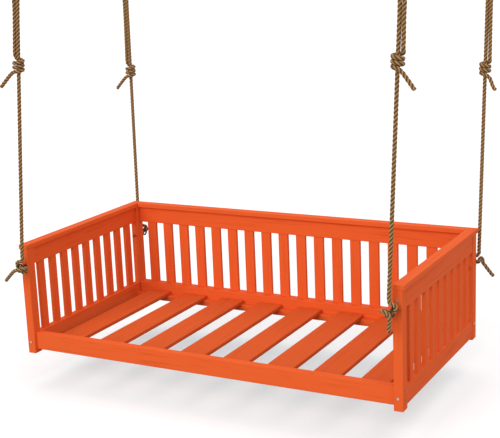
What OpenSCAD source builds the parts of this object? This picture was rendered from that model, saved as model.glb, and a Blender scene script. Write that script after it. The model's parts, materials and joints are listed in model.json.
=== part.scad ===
// Hanging swing bed: a slatted daybed frame with three railed sides, carried by four ropes
// that are tied to eye bolts in its posts and looped over rings under the ceiling.
// Millimetres. X runs along the bed, Y to its back, Z up. The origin lies in the ceiling
// plane, above the middle of the bed. Modules draw from the middle of the front edge, at
// foot height, and hung() moves them to the origin.

/* [Bed] */
// Length over the end posts
bed_w = 2050; // [1900:10:2200]
// Depth over the posts, front to back
bed_d = 1060; // [1000:10:1160]
// Height of a post, without its cap
post_h = 553; // [480:1:640]
// Height of the ceiling above the feet
hang_h = 1900; // [1860:10:3000]

/* [Posts and caps] */
// How far the rails are set in from the posts' outer faces
face_inset = 3; // [1:0.5:6]
// How far the posts stand in past the end rails
post_lip = 3; // [1:0.5:8]
// How far the front rail is set back from the front posts' faces
front_set = 16; // [8:1:24]
// Thickness of the cap boards
cap_t = 24; // [16:1:32]
// How far the cap boards stand out past the posts
cap_lap = 8; // [4:1:14]

/* [Rails] */
// Height of every rail board
rail_h = 89; // [70:1:110]
// Thickness of the front rail
front_rail_t = 38; // [30:1:45]
// Thickness of the seat rail at the back
seat_rail_t = 35; // [30:1:45]
// Underside of the end rails above the feet
end_rail_z = 16; // [8:1:30]
// Underside of the front and back rails above the feet
long_rail_z = 21; // [10:1:35]

/* [Panel slats] */
// Thickness of the upright slats
slat_t = 19; // [15:1:24]
// Wood beside a slat's housing in a rail
housing_lip = 3; // [2:0.5:6]
// Ledge that the end rails leave inside the slats
ledge = 16; // [10:1:24]
// Width of the end panels' slats
end_slat_w = 48.5; // [40:0.5:56]
// Number of slats in an end panel
end_slats = 9; // [7:1:10]
// Width of the back panel's slats
back_slat_w = 56; // [46:1:66]
// Number of slats in the back panel
back_slats = 18; // [14:1:20]
// How deep a slat's end is housed
tenon = 10; // [6:1:16]

/* [Seat] */
// Width of a seat slat
seat_slat_w = 140; // [110:1:160]
// Thickness of a seat slat
seat_slat_t = 19; // [16:1:25]
// Gap between the end posts and the first and last seat slat
seat_end_gap = 71; // [40:1:100]
// Depth of the cleats under the seat slats
cleat_d = 38; // [28:1:48]
// Height of the cleats
cleat_h = 32; // [24:1:38]
// Play between a seat slat's ends and the rails
seat_play = 1; // [0.5:0.5:4]

/* [Bolts and screws] */
// Diameter of the bolts through the posts
bolt_d = 6; // [5:0.5:8]
// Width across the flats of a bolt head
bolt_head_w = 11; // [10:0.5:14]
// Height of a bolt head
bolt_head_h = 4; // [3:0.5:6]
// Length of a bolt under its head
bolt_len = 110; // [90:1:140]
// How far above the bolts into the end rails those into the long rails sit
bolt_rise = 20; // [16:1:24]
// Diameter of the wood screws
screw_d = 4.5; // [4:0.1:5.5]
// Diameter of a screw head
screw_head_d = 9; // [8:0.1:11]
// Height of a screw head
screw_head_h = 2.5; // [2:0.1:3.5]
// Length of the screws through the front posts, under the head
post_screw_len = 90; // [70:1:110]
// Half the height between the two screws into an end of the front rail
post_screw_spread = 22; // [18:1:30]
// Length of the screws through the seat slats, under the head
seat_screw_len = 40; // [25:1:42]
// Distance of a seat slat's screws from its long edges
seat_screw_edge = 30; // [20:1:50]
// Length of the screws through the cleats, under the head
cleat_screw_len = 60; // [45:1:64]
// Number of screws along a cleat
cleat_screws_n = 7; // [4:1:9]

/* [Eye bolts] */
// Diameter of an eye bolt's shank
eye_shank_d = 10; // [8:0.5:12]
// Diameter of the wire of its ring
eye_wire_d = 9; // [8:0.5:11]
// Room round the rope in the ring
eye_play = 4.5; // [3:0.5:8]
// From the post's face to the middle of the ring
eye_reach = 46; // [44:1:60]
// Front eye bolts, below the post's top
eye_drop_front = 85; // [75:1:105]
// Back eye bolts, below the post's top
eye_drop_back = 168; // [140:1:190]
// How far the front eye bolts stand in from the middle of the posts
eye_in_front = 5; // [0:1:8]
// Diameter of the shoulder against the post
shoulder_d = 20; // [16:1:24]
// Thickness of the shoulder
shoulder_t = 5; // [3:0.5:8]
// Width across the flats of the nut
nut_w = 17; // [15:0.5:19]
// Thickness of the nut
nut_t = 8; // [6:0.5:10]
// Diameter of the washer
washer_d = 22; // [20:0.5:24]
// Thickness of the washer
washer_t = 2; // [1:0.5:3]
// Depth of the pocket for the nut in the front posts
pocket_depth = 14; // [12:0.5:18]
// Room round the washer in that pocket
pocket_play = 1; // [0.5:0.5:3]

/* [Ropes] */
// Diameter of the rope
rope_d = 20; // [16:0.5:22]
// Room under the wire of an eye, in the rope's bight
bight_under = 0.6; // [0.5:0.1:1]
// Room over the wire of an eye, in the rope's bight
bight_over = 1.6; // [1.5:0.1:3]
// Gap between a rope and the turns wound round it or beside it
turn_gap = 0.9; // [0.8:0.1:1.5]
// Turns of the wrap that closes each rope's upper loop
wrap_turns = 2.75; // [1.75:1:4.75]
// Turns of the knot at each eye bolt
knot_turns = 1.25; // [1.25:1:3.25]
// Radius of the centreline of that knot's turns
knot_r = 11.5; // [11:0.5:14]

/* [Ceiling rings] */
// Diameter of the wire of a ceiling ring
ring_wire_d = 10; // [8:0.5:12]
// Room round the rope in a ceiling ring
ring_play = 6; // [5:0.5:10]
// Diameter of a ceiling plate
plate_d = 76; // [66:1:90]
// Thickness of a ceiling plate
plate_t = 6; // [4:0.5:8]
// Length of the neck between plate and ring
neck_len = 8; // [6:1:20]
// Diameter of the neck
neck_d = 14; // [12:1:18]
// Diameter of the circle of screw holes in a plate
plate_pcd = 54; // [46:1:60]
// Diameter of those holes
plate_hole_d = 5.5; // [4.5:0.5:7]

/* [Hidden] */

$fn = 48;
hole_gap = 0.15;                 // between a bolt or screw and its hole
housing_gap = 0.2;               // between a slat's end and its housing
half_w = bed_w / 2;

// Boards
top_rail_t = slat_t + 2 * housing_lip;
end_rail_t = housing_lip + slat_t + ledge;
post_x = face_inset + end_rail_t + post_lip;
post_y = front_set + front_rail_t;
cap_w = post_x + cap_lap;
post_in_x = half_w - post_x;                       // the posts' inner faces
post_mid_x = half_w - post_x / 2;
back_post_y = bed_d - post_y;                      // the back posts' front faces
end_rail_in_x = half_w - face_inset - end_rail_t;  // the end bottom rails' inner faces
back_rail_y = bed_d - face_inset - top_rail_t;     // the back rails' front faces
seat_rail_y = back_rail_y - seat_rail_t;           // the seat rail's front face
top_rail_z = post_h - rail_h;
top_rail_mid_z = post_h - rail_h / 2;
end_rail_mid_z = end_rail_z + rail_h / 2;
long_rail_mid_z = long_rail_z + rail_h / 2;
end_span = bed_d - 2 * post_y;                     // between a front and a back post

// Slats
end_slat_gap = (end_span - end_slats * end_slat_w) / (end_slats + 1);
back_slat_gap = (2 * post_in_x - back_slats * back_slat_w) / (back_slats + 1);
SEAT_SLATS = 8;
seat_pitch = (2 * (post_in_x - seat_end_gap) - seat_slat_w) / (SEAT_SLATS - 1);
seat_z = long_rail_z + cleat_h;
seat_slat_y0 = post_y + seat_play;
seat_slat_y1 = seat_rail_y - seat_play;

// Eye bolts. Corners run front left, front right, back left, back right.
SIDE = [-1, 1, -1, 1];
FRONT = [true, true, false, false];
eye_hole_r = rope_d / 2 + eye_play;
eye_r = eye_hole_r + eye_wire_d / 2;               // middle of the ring's wire
function eye_x(c) = SIDE[c] * (post_mid_x - (FRONT[c] ? eye_in_front : 0));
function eye_z(c) = post_h - (FRONT[c] ? eye_drop_front : eye_drop_back);
function rope_y(c) = FRONT[c] ? -eye_reach : bed_d + eye_reach;
function eye_at(c) = [eye_x(c), rope_y(c), eye_z(c)];
grip_front = post_y - pocket_depth;                // wood between shoulder and washer

// Ceiling rings
ring_hole_r = rope_d / 2 + ring_play;
ring_r = ring_hole_r + ring_wire_d / 2;
pivot_z = hang_h - plate_t - neck_len - ring_r - ring_wire_d / 2;
RING_DX = [117, 66, -37, 75];    // from each eye to the ceiling ring above it
function ring_at(c) = [eye_x(c) + RING_DX[c], rope_y(c), pivot_z];

// Ropes. Each runs from its knot's tail, round the eye, up over the ceiling ring and down
// to the wrap that is wound round its own standing part, and ends in a second tail.
KNOT_X = [1, -1, -1, 1];         // the side of the eye on which each knot lies
KNOT_MORE = [-0.25, -0.25, 0, -0.25];    // turns added to each knot
KNOT_UP = [-1, -1, -1, 1];       // whether each corkscrew lies above or below its start
STAND_DX = [23, -14, -37, 23];   // standing part from the eye, STAND_RISE above it
STAND_RISE = 90;
WRAP_DROP = [319, 277, 474, 432];        // top of each wrap below its ceiling ring
WRAP_TAIL = [[88, -84], [85, -82], [82, -75], [62, -75]];
KNOT_TAIL = [
  [[39, 14, 4], [38, 25, 5], [30, 33, 5], [12, 36, 2], [-10, 35, -7], [-31, 32, -24], [-73, 28, -64]],
  [[39, 14, 5], [37, 26, 9], [28, 34, 10], [12, 36, 6], [2, 35, -5], [0, 34, -19], [3, 31, -40], [7, 29, -80]],
  [[47, 15, -24], [59, 16, -39], [86, 17, -63]],
  [[49, -10, 3], [57, -14, -5], [66, -12, -18], [100, -6, -62]]];
KNOT_SLIDE = [15, 15, 15, 21];   // how far the rope slides on before it turns into a knot
WRAP_SLIDE = 22;                 // the same for a wrap
EASE = 18;                       // degrees over which it does most of that
rope_r = rope_d / 2;
turn_r = rope_d + turn_gap;      // centreline of turns wound round the rope
knot_pitch = rope_d + turn_gap + 1.4;
bight_low = eye_r - eye_wire_d / 2 - bight_under - rope_r;
bight_high = eye_r + eye_wire_d / 2 + bight_over + rope_r;
bight_r = (bight_high - bight_low) / 2;
over_r = ring_wire_d / 2 + 0.5 + rope_r; // the rope's bend over a ceiling ring's wire
LEG_SPREAD = 68;                 // the two legs part this far below a ceiling ring
TURN_STEPS = 24;
FORM_SIDES = 6;
LINE_SIDES = 8;
LEG_STEPS = 9;

function unit(v) = v / norm(v);
function stand_at(c) = eye_at(c) + [STAND_DX[c], 0, STAND_RISE];
function over_at(c) = ring_at(c) - [0, 0, ring_r];                 // middle of the wire passed over
function leg_top(c) = over_at(c) - [SIDE[c] * over_r, 0, 0];
function leg_dir(c) = unit(leg_top(c) - stand_at(c));
function leg_at(c, z) = stand_at(c) + leg_dir(c) * (z - stand_at(c).z) / leg_dir(c).z;
function leg_side(c) = SIDE[c] * [leg_dir(c).z, 0, -leg_dir(c).x]; // square to the leg, outward
function wrap_z(c) = pivot_z - WRAP_DROP[c];
function wrap_point(c, out, away, along) =
  leg_at(c, wrap_z(c)) + out * leg_side(c) + [0, away, 0] + along * leg_dir(c);

// The rope's route from one wrap's start face to the end of its tail
function helix_drop(a) = WRAP_SLIDE * (1 - exp(-a / EASE)) + a / 360 * turn_r;
function wrap_route(c) = let(
    last = 360 * wrap_turns,
    low = -helix_drop(last))
  concat(
    [wrap_point(c, turn_r, 0, rope_d)],
    [for (k = [0 : wrap_turns * TURN_STEPS]) let(a = k * 360 / TURN_STEPS)
      wrap_point(c, turn_r * cos(a), turn_r * sin(a), -helix_drop(a))],
    [wrap_point(c, 11, -turn_r - 0.5, low - 3), wrap_point(c, 21, -turn_r - 1, low - 9),
     wrap_point(c, 30, -turn_r - 1.5, low - 17),
     wrap_point(c, WRAP_TAIL[c][0] - 12, -turn_r - 3, low + WRAP_TAIL[c][1] + 15),
     wrap_point(c, WRAP_TAIL[c][0], -turn_r - 3.5, low + WRAP_TAIL[c][1])]);

// A knot's points, from the eye: x to the knot's side, y away from the post, z up
function knot_point(c, p) = eye_at(c) + [KNOT_X[c] * p.x, (FRONT[c] ? -1 : 1) * p.y, p.z];
// Past the eye the rope slides on in x while it opens into a corkscrew
function knot_turn(c, a) = [
  KNOT_SLIDE[c] * (1 - exp(-a / EASE)) + a / 360 * knot_pitch,
  -KNOT_UP[c] * knot_r * sin(a), bight_low + KNOT_UP[c] * knot_r * (1 - cos(a))];
// From the standing part over the eye's wire, round it and into the eye
function bight_in(c) = let(s = abs(STAND_DX[c])) concat(
  [for (a = [15 : 15 : 90]) [s * cos(a), 0, bight_high + s * (1 - sin(a))]],
  [for (a = [105 : 15 : 255]) [bight_r * cos(a), 0, bight_low + bight_r * (1 + sin(a))]]);
function knot_route(c) = concat(
  [stand_at(c), stand_at(c) - rope_d * leg_dir(c)],
  [for (p = bight_in(c)) knot_point(c, p)],
  [for (k = [0 : (knot_turns + KNOT_MORE[c]) * TURN_STEPS])
    knot_point(c, knot_turn(c, k * 360 / TURN_STEPS))],
  [for (p = KNOT_TAIL[c]) knot_point(c, p)]);

function line_route(c) = concat(
  [for (k = [0 : LEG_STEPS]) stand_at(c) + (leg_top(c) - stand_at(c)) * k / LEG_STEPS],
  [for (a = [30 : 30 : 180]) over_at(c) + over_r * [-SIDE[c] * cos(a), 0, sin(a)]],
  [wrap_point(c, turn_r, 0, pivot_z - LEG_SPREAD - wrap_z(c)), wrap_point(c, turn_r, 0, rope_d)]);

// A tube of round section swept along points, closed at both ends
function headings(p) = [for (i = [0 : len(p) - 1])
  unit(p[min(i + 1, len(p) - 1)] - p[max(i - 1, 0)])];
function carried(t, n) = len(n) == len(t) ? n
  : let(h = t[len(n)], last = n[len(n) - 1])
    carried(t, concat(n, [unit(last - (last * h) * h)]));
module tube(p, sides) {
  t = headings(p);
  n = carried(t, [unit([0, 1, 0] - t[0].y * t[0])]);
  last = (len(p) - 1) * sides;
  points = [for (i = [0 : len(p) - 1], k = [0 : sides - 1]) let(a = 360 * k / sides)
    p[i] + rope_r * (cos(a) * n[i] + sin(a) * cross(t[i], n[i]))];
  walls = [for (i = [0 : len(p) - 2], k = [0 : sides - 1]) let(
      a = i * sides + k, b = i * sides + (k + 1) % sides)
    each [[a, b, b + sides], [a, b + sides, a + sides]]];
  ends = [for (k = [1 : sides - 2])
    each [[0, k + 1, k], [last, last + k, last + k + 1]]];
  polyhedron([for (q = points) q], [for (f = concat(walls, ends)) [f[2], f[1], f[0]]]);
}

// Least gap between stretches of one tube that lie more than a bend apart along it
function run_at(p, i = 0, sum = 0, out = []) = i == len(p) ? out
  : let(s = sum + (i == 0 ? 0 : norm(p[i] - p[i - 1]))) run_at(p, i + 1, s, concat(out, [s]));
function least_gap(p) = let(s = run_at(p)) min(
  [for (i = [0 : len(p) - 1], j = [i + 1 : 1 : len(p) - 1]) if (s[j] - s[i] > 2.4 * rope_d)
    norm(p[i] - p[j]) - rope_d]);
function run_length(p) = let(s = run_at(p)) s[len(s) - 1];

module hung() { translate([0, -bed_d / 2, -hang_h]) children(); }
module painted() { color([0.86, 0.34, 0.16]) hung() children(); }
module steel() { color([0.72, 0.73, 0.75]) hung() children(); }
module twine() { color([0.58, 0.43, 0.28]) hung() children(); }

// A board from one corner to the opposite one
module board(low, high) { translate(low) cube(high - low); }

// A round hole or pin from a point along a direction, given as rotations
module along_y(at, d, len) { translate(at) rotate([-90, 0, 0]) cylinder(d = d, h = len); }
module along_x(at, d, len, dir) {
  translate(at) rotate([0, dir * 90, 0]) cylinder(d = d, h = len);
}

// --- posts, caps and rails ---

bolt_z = [top_rail_mid_z, end_rail_mid_z];
// X-going bolts: into the back top rail and into the seat rail
function rail_bolt_at(k) = k == 0
  ? [back_rail_y + top_rail_t / 2, top_rail_mid_z + bolt_rise]
  : [back_post_y + (back_rail_y - back_post_y) / 2, long_rail_mid_z + bolt_rise];
front_rail_mid_y = front_set + front_rail_t / 2;
post_screw_z = [long_rail_mid_z - post_screw_spread, long_rail_mid_z + post_screw_spread];

module post_block(side, front) {
  x = side * half_w;
  y = front ? 0 : back_post_y;
  translate([min(x, x - side * post_x), y, 0]) cube([post_x, post_y, post_h]);
}

module post(c) {
  side = SIDE[c];
  front = FRONT[c];
  eye = eye_at(c);
  painted() difference() {
    post_block(side, front);
    for (z = bolt_z) along_y([side * post_mid_x, front ? -1 : back_post_y - 1, z],
      bolt_d + 2 * hole_gap, post_y + 2);
    along_y([eye.x, front ? -1 : back_post_y - 1, eye.z], eye_shank_d + 2 * hole_gap, post_y + 2);
    if (front) {
      along_y([eye.x, grip_front, eye.z], washer_d + 2 * pocket_play, pocket_depth + 1);
      for (z = post_screw_z)
        along_x([side * (half_w + 1), front_rail_mid_y, z], screw_d + 2 * hole_gap, post_x + 2, -side);
    } else {
      for (k = [0, 1]) along_x([side * (half_w + 1), rail_bolt_at(k)[0], rail_bolt_at(k)[1]],
        bolt_d + 2 * hole_gap, post_x + 2, -side);
    }
  }
}

cap_out_x = half_w + cap_lap;
cap_out_y = bed_d + cap_lap;
module cap_side(side) {
  painted() translate([0, 0, post_h]) linear_extrude(cap_t) polygon([
    [side * cap_out_x, 0], [side * cap_out_x, cap_out_y],
    [side * (cap_out_x - cap_w), cap_out_y - cap_w], [side * (cap_out_x - cap_w), 0]]);
}
module cap_back() {
  painted() translate([0, 0, post_h]) linear_extrude(cap_t) polygon([
    [-cap_out_x, cap_out_y], [cap_out_x, cap_out_y],
    [cap_out_x - cap_w, cap_out_y - cap_w], [cap_w - cap_out_x, cap_out_y - cap_w]]);
}

// Upright slats as boards, drawn with extra room where they cut their own housings
slat_out_x = half_w - face_inset - housing_lip;    // the end slats' outer faces
slat_back_y = bed_d - face_inset - housing_lip;    // the back slats' back faces
module end_slat(side, k, room) {
  y = post_y + end_slat_gap + k * (end_slat_w + end_slat_gap);
  x0 = side > 0 ? slat_out_x - slat_t : -slat_out_x;
  board([x0 - room, y - room, end_rail_z + rail_h - tenon - room],
    [x0 + slat_t + room, y + end_slat_w + room, top_rail_z + tenon + room]);
}
module back_slat(k, room) {
  x = -post_in_x + back_slat_gap + k * (back_slat_w + back_slat_gap);
  board([x - room, slat_back_y - slat_t - room, long_rail_z + rail_h - tenon - room],
    [x + back_slat_w + room, slat_back_y + room, top_rail_z + tenon + room]);
}

module end_bolt_holes() {
  for (side = [-1, 1], z = bolt_z, y = [0, bed_d - bolt_len])
    along_y([side * post_mid_x, y, z], bolt_d + 2 * hole_gap, bolt_len);
}
module end_top_rail(side) {
  x = half_w - face_inset;
  painted() difference() {
    board([side > 0 ? x - top_rail_t : -x, post_y, top_rail_z],
      [side > 0 ? x : top_rail_t - x, bed_d - post_y, post_h]);
    for (k = [0 : end_slats - 1]) end_slat(side, k, housing_gap);
    end_bolt_holes();
  }
}
module end_bottom_rail(side) {
  x = half_w - face_inset;
  painted() difference() {
    board([side > 0 ? x - end_rail_t : -x, post_y, end_rail_z],
      [side > 0 ? x : end_rail_t - x, bed_d - post_y, end_rail_z + rail_h]);
    for (k = [0 : end_slats - 1]) end_slat(side, k, housing_gap);
    end_bolt_holes();
  }
}
module rail_bolt_holes(k) {
  for (side = [-1, 1]) along_x([side * half_w, rail_bolt_at(k)[0], rail_bolt_at(k)[1]],
    bolt_d + 2 * hole_gap, bolt_len, -side);
}
module back_top_rail() {
  painted() difference() {
    board([-post_in_x, back_rail_y, top_rail_z], [post_in_x, back_rail_y + top_rail_t, post_h]);
    for (k = [0 : back_slats - 1]) back_slat(k, housing_gap);
    rail_bolt_holes(0);
  }
}
module back_bottom_rail() {
  painted() difference() {
    board([-post_in_x, back_rail_y, long_rail_z],
      [post_in_x, back_rail_y + top_rail_t, long_rail_z + rail_h]);
    for (k = [0 : back_slats - 1]) back_slat(k, housing_gap);
  }
}
module back_seat_rail() {
  painted() difference() {
    board([-post_in_x, seat_rail_y, long_rail_z], [post_in_x, back_rail_y, long_rail_z + rail_h]);
    rail_bolt_holes(1);
    cleat_screw_holes(false);
  }
}
module front_rail() {
  painted() difference() {
    board([-post_in_x, front_set, long_rail_z], [post_in_x, post_y, long_rail_z + rail_h]);
    for (side = [-1, 1], z = post_screw_z)
      along_x([side * half_w, front_rail_mid_y, z], screw_d + 2 * hole_gap, post_screw_len, -side);
    cleat_screw_holes(true);
  }
}

// --- seat ---

cleat_mid_z = long_rail_z + cleat_h / 2;
function cleat_screw_x(k) = (k - (cleat_screws_n - 1) / 2) * 2 * (post_in_x - 60) / (cleat_screws_n - 1);
// Screws go through the cleats into the rails, from inside
module cleat_screw_holes(front) {
  for (k = [0 : cleat_screws_n - 1])
    along_y([cleat_screw_x(k),
      front ? post_y + cleat_d - cleat_screw_len : seat_rail_y - cleat_d, cleat_mid_z],
      screw_d + 2 * hole_gap, cleat_screw_len);
}
function seat_slat_x(k) = (k - (SEAT_SLATS - 1) / 2) * seat_pitch;
seat_screw_y = [post_y + cleat_d / 2, seat_rail_y - cleat_d / 2];
module seat_screw_holes() {
  for (k = [0 : SEAT_SLATS - 1], e = [-1, 1], y = seat_screw_y)
    translate([seat_slat_x(k) + e * (seat_slat_w / 2 - seat_screw_edge), y,
      seat_z + seat_slat_t - screw_head_h - seat_screw_len])
      cylinder(d = screw_d + 2 * hole_gap, h = seat_screw_len + screw_head_h + 1);
}
module seat_head_pockets() {
  for (k = [0 : SEAT_SLATS - 1], e = [-1, 1], y = seat_screw_y)
    translate([seat_slat_x(k) + e * (seat_slat_w / 2 - seat_screw_edge), y,
      seat_z + seat_slat_t - screw_head_h])
      cylinder(d = screw_head_d + 2 * hole_gap, h = screw_head_h + 1);
}
module front_cleat() {
  painted() difference() {
    board([-end_rail_in_x, post_y, long_rail_z], [end_rail_in_x, post_y + cleat_d, seat_z]);
    seat_screw_holes();
    cleat_screw_holes(true);
  }
}
module back_cleat() {
  painted() difference() {
    board([-end_rail_in_x, seat_rail_y - cleat_d, long_rail_z], [end_rail_in_x, seat_rail_y, seat_z]);
    seat_screw_holes();
    cleat_screw_holes(false);
  }
}
module seat_slat(n) {
  x = seat_slat_x(n - 1);
  painted() difference() {
    board([x - seat_slat_w / 2, seat_slat_y0, seat_z],
      [x + seat_slat_w / 2, seat_slat_y1, seat_z + seat_slat_t]);
    seat_screw_holes();
    seat_head_pockets();
  }
}

module end_panel_slats(side) {
  painted() for (k = [0 : end_slats - 1]) end_slat(side, k, 0);
}
module back_panel_slats() {
  painted() for (k = [0 : back_slats - 1]) back_slat(k, 0);
}

// --- fasteners ---

module hex(w, h) { cylinder(d = w / cos(30), h = h, $fn = 6); }
// A hex bolt whose head's underside lies at the origin, its shank going down
module bolt() {
  hex(bolt_head_w, bolt_head_h);
  translate([0, 0, -bolt_len]) cylinder(d = bolt_d, h = bolt_len + bolt_head_h / 2);
}
module screw(len) {
  cylinder(d = screw_head_d, h = screw_head_h);
  translate([0, 0, -len]) cylinder(d = screw_d, h = len + screw_head_h / 2);
}
module post_bolts() {
  steel() for (side = [-1, 1], z = bolt_z) {
    translate([side * post_mid_x, 0, z]) rotate([90, 0, 0]) bolt();
    translate([side * post_mid_x, bed_d, z]) rotate([-90, 0, 0]) bolt();
  }
}
module rail_bolts() {
  steel() for (side = [-1, 1], k = [0, 1])
    translate([side * half_w, rail_bolt_at(k)[0], rail_bolt_at(k)[1]]) rotate([0, side * 90, 0]) bolt();
}
module post_screws() {
  steel() for (side = [-1, 1], z = post_screw_z)
    translate([side * half_w, front_rail_mid_y, z]) rotate([0, side * 90, 0]) screw(post_screw_len);
}
module seat_screws() {
  painted() for (k = [0 : SEAT_SLATS - 1], e = [-1, 1], y = seat_screw_y)
    translate([seat_slat_x(k) + e * (seat_slat_w / 2 - seat_screw_edge), y,
      seat_z + seat_slat_t - screw_head_h]) screw(seat_screw_len);
}
module cleat_screws() {
  steel() for (k = [0 : cleat_screws_n - 1]) {
    translate([cleat_screw_x(k), post_y + cleat_d, cleat_mid_z]) rotate([-90, 0, 0])
      screw(cleat_screw_len);
    translate([cleat_screw_x(k), seat_rail_y - cleat_d, cleat_mid_z]) rotate([90, 0, 0])
      screw(cleat_screw_len);
  }
}

// --- eye bolts: drawn about the ring's middle, the shank going along +Y ---

module ring(r, wire) { rotate([0, 90, 0]) rotate_extrude($fn = 96) translate([r, 0]) circle(d = wire); }
function grip(c) = FRONT[c] ? grip_front : post_y;
module at_eye(c) { translate(eye_at(c)) mirror([0, FRONT[c] ? 0 : 1, 0]) children(); }
module eye_bolt(c) {
  steel() at_eye(c) {
    ring(eye_r, eye_wire_d);
    along_y([0, eye_r, 0], eye_shank_d, eye_reach - eye_r + grip(c) + washer_t + nut_t + 3);
    along_y([0, eye_reach - shoulder_t, 0], shoulder_d, shoulder_t);
  }
}
module eye_washers() {
  steel() for (c = [0 : 3]) at_eye(c) difference() {
    along_y([0, eye_reach + grip(c), 0], washer_d, washer_t);
    along_y([0, eye_reach + grip(c) - 1, 0], eye_shank_d + 2 * hole_gap, washer_t + 2);
  }
}
module eye_nuts() {
  steel() for (c = [0 : 3]) at_eye(c) translate([0, eye_reach + grip(c) + washer_t, 0])
    rotate([-90, 0, 0]) difference() {
      hex(nut_w, nut_t);
      translate([0, 0, -1]) cylinder(d = eye_shank_d + 2 * hole_gap, h = nut_t + 2);
    }
}

// --- ceiling rings ---

module ceiling_ring(c) {
  steel() translate(ring_at(c)) {
    ring(ring_r, ring_wire_d);
    translate([0, 0, ring_r]) cylinder(d = neck_d, h = ring_wire_d / 2 + neck_len);
    translate([0, 0, hang_h - plate_t - pivot_z]) difference() {
      cylinder(d = plate_d, h = plate_t, $fn = 72);
      for (a = [45 : 90 : 315]) rotate([0, 0, a]) translate([plate_pcd / 2, 0, -1])
        cylinder(d = plate_hole_d, h = plate_t + 2);
    }
  }
}

// --- ropes ---

module rope(c) { twine() tube(line_route(c), LINE_SIDES); }
module wrap(c) { twine() tube(wrap_route(c), FORM_SIDES); }
module knot(c) { twine() tube(knot_route(c), FORM_SIDES); }

echo(least_gap_in_wraps = [for (c = [0 : 3]) least_gap(wrap_route(c))],
  least_gap_in_knots = [for (c = [0 : 3]) least_gap(knot_route(c))]);
echo(rope_lengths = [for (c = [0 : 3])
  run_length(knot_route(c)) + run_length(line_route(c)) + run_length(wrap_route(c))]);

post(0);  // post_front_left
post(1);  // post_front_right
post(2);  // post_back_left
post(3);  // post_back_right
cap_side(-1);  // cap_left
cap_side(1);  // cap_right
cap_back();
end_top_rail(-1);  // end_top_rail_left
end_top_rail(1);  // end_top_rail_right
end_bottom_rail(-1);  // end_bottom_rail_left
end_bottom_rail(1);  // end_bottom_rail_right
back_top_rail();
back_bottom_rail();
back_seat_rail();
front_rail();
front_cleat();
back_cleat();
seat_slat(1);  // seat_slat_1
seat_slat(2);  // seat_slat_2
seat_slat(3);  // seat_slat_3
seat_slat(4);  // seat_slat_4
seat_slat(5);  // seat_slat_5
seat_slat(6);  // seat_slat_6
seat_slat(7);  // seat_slat_7
seat_slat(8);  // seat_slat_8
end_panel_slats(-1);  // left_panel_slats
end_panel_slats(1);  // right_panel_slats
back_panel_slats();
post_bolts();
rail_bolts();
post_screws();
seat_screws();
cleat_screws();
eye_bolt(0);  // eye_bolt_front_left
eye_bolt(1);  // eye_bolt_front_right
eye_bolt(2);  // eye_bolt_back_left
eye_bolt(3);  // eye_bolt_back_right
eye_washers();
eye_nuts();
rope(0);  // rope_front_left
rope(1);  // rope_front_right
rope(2);  // rope_back_left
rope(3);  // rope_back_right
wrap(0);  // wrap_front_left
wrap(1);  // wrap_front_right
wrap(2);  // wrap_back_left
wrap(3);  // wrap_back_right
knot(0);  // knot_front_left
knot(1);  // knot_front_right
knot(2);  // knot_back_left
knot(3);  // knot_back_right
ceiling_ring(0);  // ceiling_ring_front_left
ceiling_ring(1);  // ceiling_ring_front_right
ceiling_ring(2);  // ceiling_ring_back_left
ceiling_ring(3);  // ceiling_ring_back_right
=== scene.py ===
"""Hanging swing bed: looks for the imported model, in metres and in the model's own frame."""

import json
import math
import random

import bmesh
import bpy
from mathutils import Matrix, Vector


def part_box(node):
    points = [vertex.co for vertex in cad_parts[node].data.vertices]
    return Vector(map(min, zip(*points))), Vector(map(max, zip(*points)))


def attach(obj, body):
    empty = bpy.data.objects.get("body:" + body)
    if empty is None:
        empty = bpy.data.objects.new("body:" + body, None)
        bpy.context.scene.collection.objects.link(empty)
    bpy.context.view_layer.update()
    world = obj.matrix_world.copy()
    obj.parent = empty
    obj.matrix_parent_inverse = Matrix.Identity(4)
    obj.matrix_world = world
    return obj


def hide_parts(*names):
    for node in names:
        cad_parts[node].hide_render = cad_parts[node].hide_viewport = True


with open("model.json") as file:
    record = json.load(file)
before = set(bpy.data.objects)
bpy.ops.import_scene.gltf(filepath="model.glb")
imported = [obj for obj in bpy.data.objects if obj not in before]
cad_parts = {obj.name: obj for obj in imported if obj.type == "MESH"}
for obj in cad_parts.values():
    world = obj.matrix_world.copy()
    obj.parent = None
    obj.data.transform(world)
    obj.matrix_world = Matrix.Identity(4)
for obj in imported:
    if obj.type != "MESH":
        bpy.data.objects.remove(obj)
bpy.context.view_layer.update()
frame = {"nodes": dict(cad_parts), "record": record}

# ---------------------------------------------------------------- camera

# The photograph's point of view: azimuth from straight in front of the bed towards its
# right end, elevation, and a slight roll.
CAMERA_AT = Vector((2.679, -4.926, 0.097))
AZIMUTH, ELEVATION, ROLL = math.radians(28.36), math.radians(13.34), math.radians(-2.32)
LENS, SENSOR = 82.5, 36.0        # both in mm


def make_camera():
    """The camera in its place, turned by the three angles."""
    back = Vector((math.sin(AZIMUTH) * math.cos(ELEVATION),
                   -math.cos(AZIMUTH) * math.cos(ELEVATION), math.sin(ELEVATION)))
    right = (-back).cross(Vector((0, 0, 1))).normalized()
    up = right.cross(-back)
    axes = Matrix((math.cos(ROLL) * right + math.sin(ROLL) * up,
                   math.cos(ROLL) * up - math.sin(ROLL) * right, back)).transposed()
    data = bpy.data.cameras.new("camera")
    data.lens, data.sensor_width, data.sensor_fit = LENS, SENSOR, "HORIZONTAL"
    camera = bpy.data.objects.new("camera", data)
    camera.matrix_world = Matrix.Translation(CAMERA_AT) @ axes.to_4x4()
    bpy.context.collection.objects.link(camera)
    bpy.context.scene.camera = camera


make_camera()
bpy.context.scene.view_settings.view_transform = "Standard"

# ---------------------------------------------------------------- rope routes

# The ropes' routes repeat the solids', about the eye bolts and ceiling rings.
CORNERS = ("front_left", "front_right", "back_left", "back_right")


def by_corner(*values):
    return dict(zip(CORNERS, values))


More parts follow.
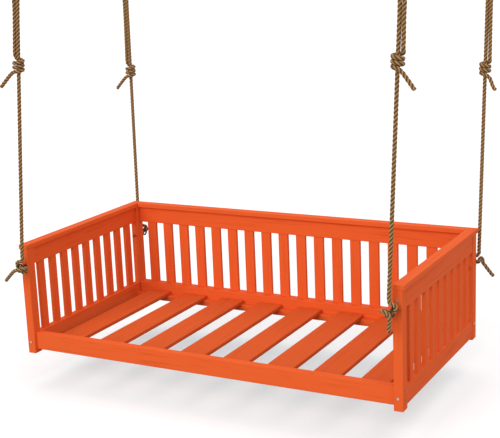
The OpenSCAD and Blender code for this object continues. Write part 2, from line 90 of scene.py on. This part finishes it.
ROPE_D = 0.020
ROPE_R = ROPE_D / 2
SIDE = by_corner(-1, 1, -1, 1)
EYE_IN = {"front": 0.998, "back": 1.003}           # from the bed's middle
EYE_Z = {"front": -1.432, "back": -1.515}
ROPE_Y = {"front": -0.576, "back": 0.576}
PIVOT_Z = -0.040
RING_R, EYE_R = 0.021, 0.019                       # middles of the rings' wires
RING_WIRE, EYE_WIRE = 0.010, 0.009
RING_DX = by_corner(0.117, 0.066, -0.037, 0.075)   # ceiling rings, from their eye bolts
STAND_DX = by_corner(0.023, -0.014, -0.037, 0.023)  # feet of the straight ropes, likewise
STAND_RISE = 0.090
LEG_SPREAD = 0.068               # the legs part this far below a ceiling ring
# gaps between the rope and the ring that it lies over, the eye below and above its wire,
# and its own turns in a wrap and in a knot
OVER_GAP, LOW_GAP, HIGH_GAP, TURN_GAP, KNOT_GAP = 0.0005, 0.0006, 0.0016, 0.0009, 0.0014
OVER_R = RING_WIRE / 2 + OVER_GAP + ROPE_R
BIGHT_LOW = EYE_R - EYE_WIRE / 2 - LOW_GAP - ROPE_R
BIGHT_HIGH = EYE_R + EYE_WIRE / 2 + HIGH_GAP + ROPE_R
TURN_R = ROPE_D + TURN_GAP
EASE = 18                        # degrees in which a corkscrew slides clear of its start

# the corkscrew beside each eye, and the points of its tail from the eye's middle
KNOT_R = 0.0115
KNOT_PITCH = TURN_R + KNOT_GAP
KNOT_SIDE = by_corner(1, -1, -1, 1)
KNOT_TURNS = by_corner(1.0, 1.0, 1.25, 1.0)
KNOT_UP = by_corner(-1, -1, -1, 1)
KNOT_SLIDE = by_corner(0.015, 0.015, 0.015, 0.021)
KNOT_TAIL = by_corner(
    ((0.039, 0.014, 0.004), (0.038, 0.025, 0.005), (0.030, 0.033, 0.005),
     (0.012, 0.036, 0.002), (-0.010, 0.035, -0.007), (-0.031, 0.032, -0.024),
     (-0.073, 0.028, -0.064)),
    ((0.039, 0.014, 0.005), (0.037, 0.026, 0.009), (0.028, 0.034, 0.010),
     (0.012, 0.036, 0.006), (0.002, 0.035, -0.005), (0.0, 0.034, -0.019),
     (0.003, 0.031, -0.040), (0.007, 0.029, -0.080)),
    ((0.047, 0.015, -0.024), (0.059, 0.016, -0.039), (0.086, 0.017, -0.063)),
    ((0.049, -0.010, 0.003), (0.057, -0.014, -0.005), (0.066, -0.012, -0.018),
     (0.100, -0.006, -0.062)))

# the wrap that closes each loop: how far its foot hangs below the pivot, and its tail's
# end, out from the rope and up from the last turn
WRAP_TURNS = 2.75
WRAP_SLIDE = 0.022
WRAP_DROP = by_corner(0.319, 0.277, 0.474, 0.432)
WRAP_TAIL = by_corner((0.088, -0.084), (0.085, -0.082), (0.082, -0.075), (0.062, -0.075))
# the tail's points: out, away and down from the last turn, then in, away and up at its end
WRAP_EXIT = ((0.011, 0.0005, 0.003), (0.021, 0.001, 0.009), (0.030, 0.0015, 0.017))
WRAP_END = ((0.012, 0.003, 0.015), (0.0, 0.0035, 0.0))

STAND_POINTS = 9                 # on the straight rope
BEND_STEP, OVER_STEP = 15, 30    # degrees between the points on the bends


def cosd(a):
    return math.cos(math.radians(a))


def sind(a):
    return math.sin(math.radians(a))


def rope_route(corner):
    """The rope's centreline from its knot's tail, over the ceiling ring, to its wrap's tail."""
    row, side = corner.split("_")[0], SIDE[corner]
    eye = Vector((side * EYE_IN[row], ROPE_Y[row], EYE_Z[row]))
    ring = Vector((eye.x + RING_DX[corner], ROPE_Y[row], PIVOT_Z))
    stand = eye + Vector((STAND_DX[corner], 0, STAND_RISE))
    over = ring - Vector((0, 0, RING_R))
    top = over - Vector((side * OVER_R, 0, 0))
    along = (top - stand).normalized()
    out = side * Vector((along.z, 0, -along.x))

    def knot_point(x, y, z):
        return eye + Vector((KNOT_SIDE[corner] * x, (-1 if row == "front" else 1) * y, z))

    knot = [stand, stand - ROPE_D * along]
    s, r = abs(STAND_DX[corner]), (BIGHT_HIGH - BIGHT_LOW) / 2
    knot += [knot_point(s * cosd(a), 0, BIGHT_HIGH + s * (1 - sind(a)))
             for a in range(BEND_STEP, 91, BEND_STEP)]
    knot += [knot_point(r * cosd(a), 0, BIGHT_LOW + r * (1 + sind(a)))
             for a in range(90 + BEND_STEP, 256, BEND_STEP)]
    up = KNOT_UP[corner]
    knot += [knot_point(KNOT_SLIDE[corner] * (1 - math.exp(-a / EASE)) + a / 360 * KNOT_PITCH,
                        -up * KNOT_R * sind(a), BIGHT_LOW + up * KNOT_R * (1 - cosd(a)))
             for a in range(0, int(KNOT_TURNS[corner] * 360) + 1, BEND_STEP)]
    knot += [knot_point(*p) for p in KNOT_TAIL[corner]]

    line = [stand + (top - stand) * k / STAND_POINTS for k in range(1, STAND_POINTS + 1)]
    line += [over + OVER_R * Vector((-side * cosd(a), 0, sind(a)))
             for a in range(OVER_STEP, 181, OVER_STEP)]

    foot_z = PIVOT_Z - WRAP_DROP[corner]

    def wrap_point(x, y, z):
        at = stand + along * (foot_z - stand.z) / along.z
        return at + x * out + Vector((0, y, 0)) + z * along

    def drop(a):
        return WRAP_SLIDE * (1 - math.exp(-a / EASE)) + a / 360 * TURN_R

    low = -drop(360 * WRAP_TURNS)
    tail_x, tail_z = WRAP_TAIL[corner]
    wrap = [wrap_point(TURN_R, 0, PIVOT_Z - LEG_SPREAD - foot_z), wrap_point(TURN_R, 0, ROPE_D)]
    wrap += [wrap_point(TURN_R * cosd(a), TURN_R * sind(a), -drop(a))
             for a in range(0, int(WRAP_TURNS * 360) + 1, BEND_STEP)]
    wrap += [wrap_point(x, -TURN_R - y, low - z) for x, y, z in WRAP_EXIT]
    wrap += [wrap_point(tail_x - x, -TURN_R - y, low + tail_z + z) for x, y, z in WRAP_END]
    return list(reversed(knot)) + line + wrap


FINER = 3                        # points of the curve for each step


def resampled(points, step):
    """Points a fixed step apart along a smooth curve through the given points, and its length."""
    fine = []
    for i in range(len(points) - 1):
        p1, p2 = points[i], points[i + 1]
        p0 = points[i - 1] if i else p1 * 2 - p2
        p3 = points[i + 2] if i + 2 < len(points) else p2 * 2 - p1
        # centripetal parameters keep the curve from swinging out beside short steps
        t1 = (p1 - p0).length ** 0.5
        t2 = t1 + (p2 - p1).length ** 0.5
        t3 = t2 + (p3 - p2).length ** 0.5
        count = max(2, int((p2 - p1).length / step * FINER))
        for k in range(count):
            t = t1 + (t2 - t1) * k / count
            a1 = p0 * (t1 - t) / t1 + p1 * t / t1
            a2 = p1 * (t2 - t) / (t2 - t1) + p2 * (t - t1) / (t2 - t1)
            a3 = p2 * (t3 - t) / (t3 - t2) + p3 * (t - t2) / (t3 - t2)
            b1 = a1 * (t2 - t) / t2 + a2 * t / t2
            b2 = a2 * (t3 - t) / (t3 - t1) + a3 * (t - t1) / (t3 - t1)
            fine.append(b1 * (t2 - t) / (t2 - t1) + b2 * (t - t1) / (t2 - t1))
    fine.append(points[-1])
    run = [0.0]
    for a, b in zip(fine, fine[1:]):
        run.append(run[-1] + (b - a).length)
    count = round(run[-1] / step)
    out, i = [], 0
    for k in range(count + 1):
        s = run[-1] * k / count
        while i < len(run) - 2 and run[i + 1] < s:
            i += 1
        out.append(fine[i].lerp(fine[i + 1], (s - run[i]) / (run[i + 1] - run[i])))
    return out, run[-1]


# ---------------------------------------------------------------- materials

def new_material(name):
    material = bpy.data.materials.new(name)
    material.use_nodes = True
    tree = material.node_tree
    return material, tree, tree.nodes["Principled BSDF"]


def node(tree, kind, **values):
    made = tree.nodes.new(kind)
    for key, value in values.items():
        if key in made.inputs:
            made.inputs[key].default_value = value
        else:
            setattr(made, key, value)
    return made


def link(tree, a, b):
    tree.links.new(a, b)


def ramp(tree, fac, stops):
    """Blend between colours, or greys given as one number, each at its place."""
    made = tree.nodes.new("ShaderNodeValToRGB")
    elements = made.color_ramp.elements
    while len(elements) < len(stops):
        elements.new(0.5)
    for element, (at, value) in zip(elements, stops):
        element.position = at
        element.color = (*(value if isinstance(value, tuple) else (value,) * 3), 1)
    link(tree, fac, made.inputs["Fac"])
    return made.outputs["Color"]


def put(tree, value, socket):
    """Set a socket to a number or a colour, or link another socket to it."""
    if isinstance(value, bpy.types.NodeSocket):
        link(tree, value, socket)
    else:
        socket.default_value = (*value, 1) if isinstance(value, tuple) else value


# where a Mix node keeps the sockets for colours
MIX_FACTOR, MIX_A, MIX_B, MIX_RESULT = 0, 6, 7, 2


def mixed(tree, fac, a, b, kind="MIX"):
    """Mix two colours."""
    made = tree.nodes.new("ShaderNodeMix")
    made.data_type, made.blend_type = "RGBA", kind
    for index, value in ((MIX_FACTOR, fac), (MIX_A, a), (MIX_B, b)):
        put(tree, value, made.inputs[index])
    return made.outputs[MIX_RESULT]


def maths(tree, operation, a, b=0.0):
    made = tree.nodes.new("ShaderNodeMath")
    made.operation = operation
    for socket, value in zip(made.inputs, (a, b)):
        put(tree, value, socket)
    return made.outputs[0]


def stretched(tree, source, scale):
    made = node(tree, "ShaderNodeMapping", Scale=scale)
    link(tree, source, made.inputs["Vector"])
    return made.outputs["Vector"]


def noise(tree, vector, scale, detail, roughness=0.55):
    made = node(tree, "ShaderNodeTexNoise", Scale=scale, Detail=detail, Roughness=roughness)
    link(tree, vector, made.inputs["Vector"])
    return made.outputs["Fac"]


def bump(tree, height, strength, distance, normal=None):
    made = node(tree, "ShaderNodeBump", Strength=strength, Distance=distance)
    link(tree, height, made.inputs["Height"])
    if normal:
        link(tree, normal, made.inputs["Normal"])
    return made.outputs["Normal"]


def seen_rays(tree):
    """One for rays from the camera, straight or by way of gloss or glass, and nought for others."""
    rays = node(tree, "ShaderNodeLightPath")
    return maths(tree, "MAXIMUM", rays.outputs["Is Camera Ray"],
                 maths(tree, "MAXIMUM", rays.outputs["Is Glossy Ray"],
                       rays.outputs["Is Transmission Ray"]))


# dark, middle and pale tones of the paint, and of the seat's, darker as painted shade
PAINT = ((0.66, 0.082, 0.016), (0.80, 0.117, 0.024), (0.88, 0.168, 0.048))
SEAT_SHADED_PAINT = ((0.54, 0.072, 0.014), (0.655, 0.100, 0.021), (0.75, 0.140, 0.038))
WORN = (0.93, 0.34, 0.16)
GRAIN_LENGTH = 0.035             # how much the grain is drawn out along a board
# noises: scale per metre, detail and roughness
GRAIN_NOISE, PORE_NOISE, RUB_NOISE = (95.0, 6.0, 0.62), (420.0, 3.0, 0.6), (38.0, 5.0, 0.7)
PATCH_NOISE, BRUSH_NOISE = (5.0, 3.0), (30.0, 3.0)
PATCH_SHARE, BRUSH_SHARE, BOARD_SHARE = 0.30, 0.16, 0.07   # how far each shifts the tone
BOARD_SHIFT = 7.0                # moves the grain from one board to the next
PAINT_ARRIS = 0.0035             # width along the edges that is rubbed


def painted_wood(name, grain_axis, paint=PAINT):
    """Orange paint brushed on sawn boards whose grain runs along an axis."""
    dark, middle, pale = paint
    material, tree, shader = new_material(name)
    place = node(tree, "ShaderNodeTexCoord").outputs["Object"]
    island = node(tree, "ShaderNodeNewGeometry")
    shifted = node(tree, "ShaderNodeVectorMath", operation="ADD")
    spread = node(tree, "ShaderNodeVectorMath", operation="SCALE", Scale=BOARD_SHIFT)
    combine = node(tree, "ShaderNodeCombineXYZ")
    for axis in "XYZ":
        link(tree, island.outputs["Random Per Island"], combine.inputs[axis])
    link(tree, combine.outputs[0], spread.inputs[0])
    link(tree, place, shifted.inputs[0])
    link(tree, spread.outputs[0], shifted.inputs[1])
    scale = [1.0, 1.0, 1.0]
    scale["XYZ".index(grain_axis)] = GRAIN_LENGTH
    along = stretched(tree, shifted.outputs[0], scale)
    grain = noise(tree, along, *GRAIN_NOISE)
    pores = noise(tree, along, *PORE_NOISE)
    patches = noise(tree, shifted.outputs[0], *PATCH_NOISE)
    brush = noise(tree, along, *BRUSH_NOISE)
    tone = ramp(tree, grain, ((0.30, dark), (0.47, middle), (0.70, middle), (0.86, pale)))
    tone = mixed(tree, maths(tree, "MULTIPLY", patches, PATCH_SHARE), tone, dark)
    tone = mixed(tree, maths(tree, "MULTIPLY", brush, BRUSH_SHARE), tone, pale)
    board = maths(tree, "MULTIPLY", island.outputs["Random Per Island"], BOARD_SHARE)
    tone = mixed(tree, board, tone, dark)
    # paint rubbed thin along the arrises
    eased = node(tree, "ShaderNodeBevel", Radius=PAINT_ARRIS)
    facing = node(tree, "ShaderNodeVectorMath", operation="DOT_PRODUCT")
    link(tree, eased.outputs["Normal"], facing.inputs[0])
    link(tree, island.outputs["Normal"], facing.inputs[1])
    edge = ramp(tree, facing.outputs["Value"], ((0.80, 1), (0.97, 0)))
    rubbed = ramp(tree, noise(tree, shifted.outputs[0], *RUB_NOISE), ((0.50, 0), (0.66, 0.75)))
    tone = mixed(tree, mixed(tree, 1.0, edge, rubbed, "MULTIPLY"), tone, WORN)
    link(tree, tone, shader.inputs["Base Color"])
    link(tree, ramp(tree, brush, ((0.3, 0.55), (0.7, 0.72))), shader.inputs["Roughness"])
    shader.inputs["Specular IOR Level"].default_value = 0.05
    height = maths(tree, "ADD", grain, maths(tree, "MULTIPLY", pores, 0.5))
    link(tree, bump(tree, height, strength=0.45, distance=0.0006,
                    normal=eased.outputs["Normal"]), shader.inputs["Normal"])
    return material


SCUFF_NOISE, BLOTCH_NOISE = (900.0, 3.0), (120.0, 4.0)
BLOTCH_TONE = 0.62               # of the blotches, against the rest
STEEL_ARRIS = 0.0006


def steel(name, tint, roughness):
    """Plated or dull steel, finely scuffed, duller in patches."""
    material, tree, shader = new_material(name)
    place = node(tree, "ShaderNodeTexCoord").outputs["Object"]
    fine = noise(tree, place, *SCUFF_NOISE)
    blotch = noise(tree, place, *BLOTCH_NOISE)
    dull = tuple(BLOTCH_TONE * c for c in tint)
    link(tree, ramp(tree, blotch, ((0.35, dull), (0.62, tint))), shader.inputs["Base Color"])
    shader.inputs["Metallic"].default_value = 1.0
    low, high = roughness
    link(tree, ramp(tree, fine, ((0.3, low), (0.7, high))), shader.inputs["Roughness"])
    eased = node(tree, "ShaderNodeBevel", Radius=STEEL_ARRIS)
    link(tree, bump(tree, fine, strength=0.25, distance=0.0002,
                    normal=eased.outputs["Normal"]), shader.inputs["Normal"])
    return material


ROPE_MID = (0.170, 0.074, 0.020)
# the dark tone below is painted shade, for the grooves between strands and between yarns
ROPE_GROOVE_SHADE = (0.012, 0.0045, 0.0013)
ROPE_PALE = (0.60, 0.34, 0.120)
YARNS = 42                       # yarns seen round the rope
FUZZ_NOISE, STAIN_NOISE = (1400.0, 4.0, 0.7), (60.0, 4.0)
YARN_SHADE_SHARE, FUZZ_SHARE, STAIN_SHARE = 0.38, 0.17, 0.25     # how far each shifts the tone


def rope_fibre(name):
    """Tan fibre: yarns run near the rope's length, and painted shade darkens its grooves."""
    material, tree, shader = new_material(name)
    place = node(tree, "ShaderNodeTexCoord")
    split = node(tree, "ShaderNodeSeparateXYZ")
    link(tree, place.outputs["UV"], split.inputs[0])
    untwisted = maths(tree, "ADD", split.outputs["X"], split.outputs["Y"])
    yarn = maths(tree, "SINE", maths(tree, "MULTIPLY", untwisted, 2 * math.pi * YARNS))
    yarn = maths(tree, "MULTIPLY", maths(tree, "ADD", yarn, 1.0), 0.5)
    crest = node(tree, "ShaderNodeAttribute", attribute_name="crest").outputs["Fac"]
    fuzz = noise(tree, place.outputs["Object"], *FUZZ_NOISE)
    stain = noise(tree, place.outputs["Object"], *STAIN_NOISE)
    # by crest height: dark as painted shade in the grooves between strands, paler towards the
    # crests
    tone = ramp(tree, crest, ((0.20, ROPE_GROOVE_SHADE), (0.62, ROPE_MID), (0.97, ROPE_PALE)))
    # painted shade in the furrows between yarns
    furrow_shade = maths(tree, "SUBTRACT", 1.0, yarn)
    tone = mixed(tree, maths(tree, "MULTIPLY", furrow_shade, YARN_SHADE_SHARE), tone, ROPE_GROOVE_SHADE)
    tone = mixed(tree, maths(tree, "MULTIPLY", fuzz, FUZZ_SHARE), tone, ROPE_PALE)
    tone = mixed(tree, maths(tree, "MULTIPLY", stain, STAIN_SHARE), tone, ROPE_MID)
    link(tree, tone, shader.inputs["Base Color"])
    shader.inputs["Roughness"].default_value = 0.9
    shader.inputs["Specular IOR Level"].default_value = 0.15
    shader.inputs["Sheen Weight"].default_value = 0.12
    shader.inputs["Sheen Roughness"].default_value = 0.6
    height = maths(tree, "ADD", yarn, maths(tree, "MULTIPLY", fuzz, 0.8))
    link(tree, bump(tree, height, strength=0.6, distance=0.0005), shader.inputs["Normal"])
    return material


WOOD = {axis: painted_wood("painted_wood_" + axis.lower(), axis) for axis in "XYZ"}
# the seat's boards take a darker copy of the paint: painted shade from the panels round them
SEAT_SHADED_WOOD = painted_wood("painted_wood_seat_shaded", "Y", SEAT_SHADED_PAINT)
PAINTED_HEAD = painted_wood("painted_screws", "Z")
STEEL = steel("zinc_steel", (0.55, 0.54, 0.53), (0.30, 0.46))
PASSIVATED = steel("passivated_steel", (0.52, 0.19, 0.060), (0.50, 0.65))
DARK_STEEL = steel("dull_steel", (0.075, 0.056, 0.040), (0.55, 0.75))
ROPE = rope_fibre("tan_rope")


# steel whose heads the photograph shows painted over with the boards
PAINTED_OVER = ("cleat_screws", "eye_nuts", "eye_washers")


def grain_of(name):
    """The axis along a node's boards: their longest side, except where slats stand in a row."""
    if name.endswith("panel_slats"):
        return "Z"
    low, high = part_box(name)
    return "XYZ"[max(range(3), key=lambda k: high[k] - low[k])]


def wood_of(name):
    return SEAT_SHADED_WOOD if name.startswith("seat_slat") else WOOD[grain_of(name)]


def material_of(name, slot):
    """The material for a CAD node, by its slot in the record and what it is."""
    if slot == "painted_wood":
        return wood_of(name)
    if slot == "rope":
        return ROPE
    if slot == "painted_screws" or name in PAINTED_OVER:
        return PAINTED_HEAD
    if name == "post_screws":
        return PASSIVATED
    return STEEL if name.endswith("bolts") else DARK_STEEL


for row in frame["record"]["subparts"]:
    for holder in frame["nodes"][row["node"]].material_slots:
        holder.material = material_of(row["node"], row["material_slot"])

# ---------------------------------------------------------------- boards

ARRIS = 0.0022                   # radius to which the boards' edges are sanded
HOLE_ROOM = 0.00015              # round a seat screw's head in its pocket
POCKET_SIDES = 32
DECIMALS = 6                     # to which points are taken as one
EDGE_STEPS = 3                   # faces across a rounded edge


def islands(name):
    """The point sets of a node's separate solids."""
    mesh = frame["nodes"][name].data
    root = list(range(len(mesh.vertices)))

    def find(i):
        while root[i] != i:
            root[i] = root[root[i]]
            i = root[i]
        return i

    same_place = {}
    for vert in mesh.vertices:
        key = tuple(round(c, DECIMALS) for c in vert.co)
        root[find(vert.index)] = find(same_place.setdefault(key, vert.index))
    for edge in mesh.edges:
        root[find(edge.vertices[0])] = find(edge.vertices[1])
    groups = {}
    for vert in mesh.vertices:
        groups.setdefault(find(vert.index), []).append(vert.co.copy())
    return list(groups.values())


def add_eased(mesh, points):
    """Add the convex board that holds the points, with its edges rounded."""
    places = {tuple(round(c, DECIMALS) for c in p): p for p in points}
    verts = [mesh.verts.new(p) for p in places.values()]

    def kept():
        """The board's own vertices and edges that are left."""
        left = [v for v in verts if v.is_valid]
        return left, list(dict.fromkeys(e for v in left for e in v.link_edges))

    hull = bmesh.ops.convex_hull(mesh, input=verts)
    inside = set(hull["geom_interior"] + hull["geom_unused"])
    bmesh.ops.delete(mesh, geom=[v for v in verts if v in inside], context="VERTS")
    corners, edges = kept()
    bmesh.ops.dissolve_limit(mesh, angle_limit=math.radians(1), verts=corners, edges=edges)
    corners, edges = kept()
    made = bmesh.ops.bevel(mesh, geom=corners + edges, offset=ARRIS, offset_type="OFFSET",
                           segments=EDGE_STEPS, profile=0.5, affect="EDGES", clamp_overlap=True)
    for face in made["faces"]:
        face.smooth = True


def cylinder_between(mesh, low, high, radius):
    """Add a cylinder about the line from low to high."""
    way = high - low
    turn = way.to_track_quat("Z", "Y").to_matrix().to_4x4()
    bmesh.ops.create_cone(mesh, cap_ends=True, segments=POCKET_SIDES,
                          radius1=radius, radius2=radius, depth=way.length,
                          matrix=Matrix.Translation((low + high) / 2) @ turn)


def new_piece(name, mesh):
    data = bpy.data.meshes.new(name)
    mesh.to_mesh(data)
    mesh.free()
    piece = bpy.data.objects.new(name, data)
    bpy.context.collection.objects.link(piece)
    return piece


def cut_away(piece, cutter):
    """Take one piece's space out of another, and throw the cutting piece away."""
    modifier = piece.modifiers.new("cut", "BOOLEAN")
    modifier.operation, modifier.solver, modifier.object = "DIFFERENCE", "EXACT", cutter
    bpy.context.view_layer.update()
    evaluated = piece.evaluated_get(bpy.context.evaluated_depsgraph_get())
    old, piece.data = piece.data, bpy.data.meshes.new_from_object(evaluated)
    piece.modifiers.clear()
    bpy.data.meshes.remove(old)
    bpy.data.objects.remove(cutter)


def box_of(points):
    """The lowest and highest corners of some points."""
    return [Vector(pick(p[k] for p in points) for k in range(3)) for pick in (min, max)]


SCREW_HEADS = [box_of(points) for points in islands("seat_screws")]
WASHERS = [box_of(points) for points in islands("eye_washers")]
HEAD_DEPTH = 0.0025              # of a seat screw's pocket
POCKET_ROOM, POCKET_REACH = 0.001, 0.030           # round and behind a front eye's washer


def pockets(name, low, high):
    """The pockets that show in a board: for seat screws' heads, and for the front eyes' nuts."""
    mesh = bmesh.new()
    if name.startswith("seat_slat"):
        for a, b in SCREW_HEADS:
            centre = (a + b) / 2
            if low.x < centre.x < high.x:
                cylinder_between(mesh, Vector((centre.x, centre.y, b.z - HEAD_DEPTH)),
                                 Vector((centre.x, centre.y, b.z + HEAD_DEPTH)),
                                 (b.x - a.x) / 2 + HOLE_ROOM)
    if name.startswith("post_front"):
        for a, b in WASHERS:
            centre = (a + b) / 2
            if low.x < centre.x < high.x and low.y < centre.y < high.y:
                cylinder_between(mesh, Vector((centre.x, a.y, centre.z)),
                                 Vector((centre.x, a.y + POCKET_REACH, centre.z)),
                                 (b.x - a.x) / 2 + POCKET_ROOM)
    if mesh.verts:
        return new_piece("cutter_" + name, mesh)
    mesh.free()
    return None


def make_board(name):
    """Stand a board with eased edges in for a node of sharp-edged solids."""
    mesh = bmesh.new()
    for points in islands(name):
        add_eased(mesh, points)
    bmesh.ops.recalc_face_normals(mesh, faces=mesh.faces)
    piece = new_piece("eased_" + name, mesh)
    cutter = pockets(name, *(Vector(c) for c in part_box(name)))
    if cutter:
        cut_away(piece, cutter)
    piece.data.materials.clear()
    piece.data.materials.append(wood_of(name))
    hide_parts(name)
    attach(piece, "bed")


for row in frame["record"]["subparts"]:
    if row["material_slot"] == "painted_wood":
        make_board(row["node"])

# ---------------------------------------------------------------- ropes

LAY = 0.058                      # length of rope in which its strands go once round
STRANDS = 3
STRAND_OUT = 0.4002              # share of the rope's radius at which a strand's middle lies
AROUND = 24                      # points round the rope
STEP = 0.0035                    # between its sections
UNEVEN = 0.012                   # share by which its radius strays
CUT_PINCH, CUT_REACH = 0.10, 0.004                 # how the cut ends are bound in
CUT_BULGE, CUT_CREST = 0.0015, 0.2                 # height and tone of the cut faces' middles


def rope_section(angle):
    """Radius and crest height of the laid rope's outline at an angle from a strand."""
    turn = 2 * math.pi / STRANDS
    off = abs((angle + turn / 2) % turn - turn / 2)
    strand = 1 - STRAND_OUT

    def reach(away):
        return (STRAND_OUT * math.cos(away)
                + math.sqrt(strand ** 2 - (STRAND_OUT * math.sin(away)) ** 2))

    return reach(off), (reach(off) - reach(turn / 2)) / (1 - reach(turn / 2))


def make_rope(corner):
    """Lay a rope's strands along its route, and stand it in for its three solids."""
    path, length = resampled(rope_route(corner), STEP)
    mesh = bmesh.new()
    crest = mesh.verts.layers.float.new("crest")
    uv = mesh.loops.layers.uv.new("UVMap")
    across = Vector((0, 1, 0))
    rings, run = [], 0.0
    rough = random.Random(corner)
    section = [rope_section(2 * math.pi * k / AROUND) for k in range(AROUND)]
    for i, at in enumerate(path):
        ahead = (path[min(i + 1, len(path) - 1)] - path[max(i - 1, 0)]).normalized()
        across = (across - across.dot(ahead) * ahead).normalized()
        beside = ahead.cross(across)
        if i:
            run += (at - path[i - 1]).length
        twist = 2 * math.pi * run / LAY
        pinch = 1 - CUT_PINCH * math.exp(-min(run, length - run) / CUT_REACH)
        ring = []
        for k, (reach, height) in enumerate(section):
            angle = 2 * math.pi * k / AROUND + twist
            r = ROPE_R * reach * pinch * (1 + rough.uniform(-UNEVEN, UNEVEN))
            vert = mesh.verts.new(at + r * (math.cos(angle) * across + math.sin(angle) * beside))
            vert[crest] = height
            ring.append(vert)
        rings.append(ring)
    for i in range(len(rings) - 1):
        for k in range(AROUND):
            j = (k + 1) % AROUND
            face = mesh.faces.new((rings[i][k], rings[i][j], rings[i + 1][j], rings[i + 1][k]))
            face.smooth = True
            u0, u1 = i * STEP / LAY, (i + 1) * STEP / LAY
            v0, v1 = k / AROUND, (k + 1) / AROUND
            for loop, place in zip(face.loops, ((u0, v0), (u0, v1), (u1, v1), (u1, v0))):
                loop[uv].uv = place
    for ring, at, way in ((rings[0], path[0], path[0] - path[1]),
                          (rings[-1], path[-1], path[-1] - path[-2])):
        tip = mesh.verts.new(at + CUT_BULGE * way.normalized())
        tip[crest] = CUT_CREST
        for k in range(AROUND):
            pair = (ring[k], ring[(k + 1) % AROUND])
            mesh.faces.new((*(pair if ring is rings[-1] else reversed(pair)), tip))
    bmesh.ops.recalc_face_normals(mesh, faces=mesh.faces)
    piece = new_piece("laid_rope_" + corner, mesh)
    piece.data.materials.append(ROPE)
    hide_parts("rope_" + corner, "wrap_" + corner, "knot_" + corner)
    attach(piece, corner + "_rope")


for corner in CORNERS:
    make_rope(corner)

# ---------------------------------------------------------------- light and floor

FLOOR_Z = -2.07                  # the bed hangs clear of it
FLOOR_SIZE = 400.0
FLOOR_GREY = 0.42                # what the object gets back from it
FLOOR_SEEN = (0.70, 0.56, 0.54)  # what the camera sees of it, evening out the orange bounce
FLOOR_GLOW = 1.02                # what its colour and its glow make together there
WORLD_LIGHT = 0.62               # on the object; the camera sees white


def make_floor():
    material, tree, shader = new_material("white_floor")
    shader.inputs["Roughness"].default_value = 0.9
    shader.inputs["Specular IOR Level"].default_value = 0.0
    seen = seen_rays(tree)
    link(tree, mixed(tree, seen, (FLOOR_GREY,) * 3, FLOOR_SEEN), shader.inputs["Base Color"])
    shader.inputs["Emission Color"].default_value = (*(FLOOR_GLOW - c for c in FLOOR_SEEN), 1)
    link(tree, seen, shader.inputs["Emission Strength"])
    data = bpy.data.meshes.new("floor")
    half = FLOOR_SIZE / 2
    data.from_pydata([(-half, -half, 0), (half, -half, 0), (half, half, 0), (-half, half, 0)],
                     [], [(0, 1, 2, 3)])
    data.materials.append(material)
    floor = bpy.data.objects.new("floor", data)
    floor.location = (0, 0, FLOOR_Z)
    bpy.context.collection.objects.link(floor)


def make_world():
    world = bpy.data.worlds.new("studio")
    bpy.context.scene.world = world
    world.use_nodes = True
    tree = world.node_tree
    back = tree.nodes["Background"]
    back.inputs["Color"].default_value = (1, 1, 1, 1)
    unlit = maths(tree, "MULTIPLY", seen_rays(tree), 1.0 - WORLD_LIGHT)
    strength = maths(tree, "ADD", WORLD_LIGHT, unlit)
    link(tree, strength, back.inputs["Strength"])


def make_sun(name, towards_light, light, spread):
    """A soft sun that alone would light a white surface square to it at the given level."""
    data = bpy.data.lights.new(name, "SUN")
    data.energy, data.angle = light * math.pi, math.radians(spread)
    lamp = bpy.data.objects.new(name, data)
    lamp.rotation_euler = Vector(towards_light).to_track_quat("Z", "Y").to_euler()
    bpy.context.collection.objects.link(lamp)


make_floor()
make_world()
# each sun's way to the light, level and spread in degrees
make_sun("key", (-0.10, -0.86, 0.46), 0.52, 40)
make_sun("top", (0.0, 0.35, 0.94), 0.22, 50)
make_sun("side", (0.85, -0.20, 0.50), 0.165, 60)
